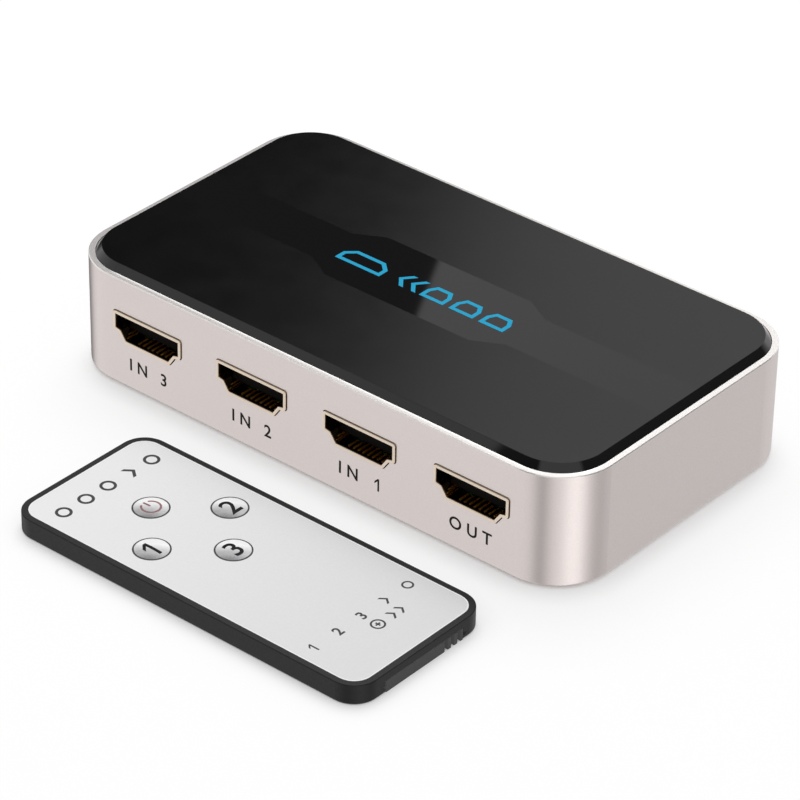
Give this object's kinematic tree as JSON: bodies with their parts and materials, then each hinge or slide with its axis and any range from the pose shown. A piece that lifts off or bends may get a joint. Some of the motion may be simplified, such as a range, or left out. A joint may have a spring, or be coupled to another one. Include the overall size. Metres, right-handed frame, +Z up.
{
  "type": "video switch with card remote",
  "caption": "Small video switch box with a row of digital video sockets and a glossy top, with a flat infrared card remote that lies beside it.",
  "frame": {"origin": "on the surface that the switch stands on, under the middle of its housing", "axes": "+X along the side with the sockets, towards the output socket; the sockets face -Y; +Z up"},
  "size_m": [0.1066, 0.103, 0.022],
  "materials": {
    "silver_shell": "satin, warm silver",
    "gloss_panel": "polished black acrylic",
    "tape": "white foam tape",
    "cover": "fine spark-eroded texture",
    "steel": "nickel plated",
    "rubber": "matte",
    "main_board": "solder mask over glass fibre",
    "chip": "moulded epoxy",
    "can": "drawn can",
    "resistor": "glazed",
    "gold_plate": "gold plated sheet",
    "socket_insulator": "moulded liquid-crystal polymer",
    "gold_contact": "gold plated",
    "button": "moulded",
    "inner_moulding": "moulded",
    "plunger": "moulded",
    "led": "clear epoxy",
    "ir_window": "dark red, clear to infrared",
    "jack": "moulded",
    "nickel": "nickel plated",
    "remote_case": "fine matte texture",
    "remote_deck": "matte",
    "remote_overlay": "printed film, pale grey",
    "key": "silver print under clear film",
    "diode": "clear epoxy",
    "battery_tray": "fine matte texture",
    "cell": "nickel plated"
  },
  "bodies": {
    "switch": {"socket_shell_1": "gold_plate", "socket_insulator_1": "socket_insulator", "socket_contacts_1": "gold_contact", "socket_shell_2": "gold_plate", "socket_insulator_2": "socket_insulator", "socket_contacts_2": "gold_contact", "socket_shell_3": "gold_plate", "socket_insulator_3": "socket_insulator", "socket_contacts_3": "gold_contact", "socket_shell_4": "gold_plate", "socket_insulator_4": "socket_insulator", "socket_contacts_4": "gold_contact", "housing": "silver_shell", "top_panel": "gloss_panel", "panel_tape": "tape", "bottom_cover": "cover", "cover_screws": "steel", "rubber_feet": "rubber", "main_board": "main_board", "board_screws": "steel", "switch_chip": "chip", "controller_chip": "chip", "regulator": "chip", "capacitors": "can", "line_resistors": "resistor", "select_switch": "inner_moulding", "led_holder": "inner_moulding", "indicator_leds": "led", "ir_window": "ir_window", "ir_receiver": "inner_moulding", "power_jack": "jack", "power_jack_pin": "nickel", "power_jack_terminals": "nickel"},
    "select_button": {"select_button": "button", "switch_plunger": "plunger"},
    "remote": {"remote_case": "remote_case", "remote_deck": "remote_deck", "remote_overlay": "remote_overlay", "remote_board": "main_board", "key_domes": "nickel", "remote_chip": "chip", "remote_diode": "diode", "cell_contacts": "nickel"},
    "key_power": {"key_power": "key"},
    "key_1": {"key_1": "key"},
    "key_2": {"key_2": "key"},
    "key_3": {"key_3": "key"},
    "battery_tray": {"battery_tray": "battery_tray", "coin_cell": "cell"}
  },
  "joints": [
    {"name": "select_press", "type": "slide", "parent": "switch", "child": "select_button", "axis": [0, -1, 0], "range_m": [0, 0.0004], "stiffness_N_per_m": 5000},
    {"name": "remote_lift", "type": "slide", "parent": "switch", "child": "remote", "axis": [0, 0, 1], "range_m": [0, 0.06]},
    {"name": "key_power_press", "type": "slide", "parent": "remote", "child": "key_power", "axis": [0, 0, -1], "range_m": [0, 0.00025], "stiffness_N_per_m": 6000},
    {"name": "key_1_press", "type": "slide", "parent": "remote", "child": "key_1", "axis": [0, 0, -1], "range_m": [0, 0.00025], "stiffness_N_per_m": 6000},
    {"name": "key_2_press", "type": "slide", "parent": "remote", "child": "key_2", "axis": [0, 0, -1], "range_m": [0, 0.00025], "stiffness_N_per_m": 6000},
    {"name": "key_3_press", "type": "slide", "parent": "remote", "child": "key_3", "axis": [0, 0, -1], "range_m": [0, 0.00025], "stiffness_N_per_m": 6000},
    {"name": "tray_slide", "type": "slide", "parent": "remote", "child": "battery_tray", "axis": [1, 0, 0], "range_m": [0, 0.019]}
  ]
}
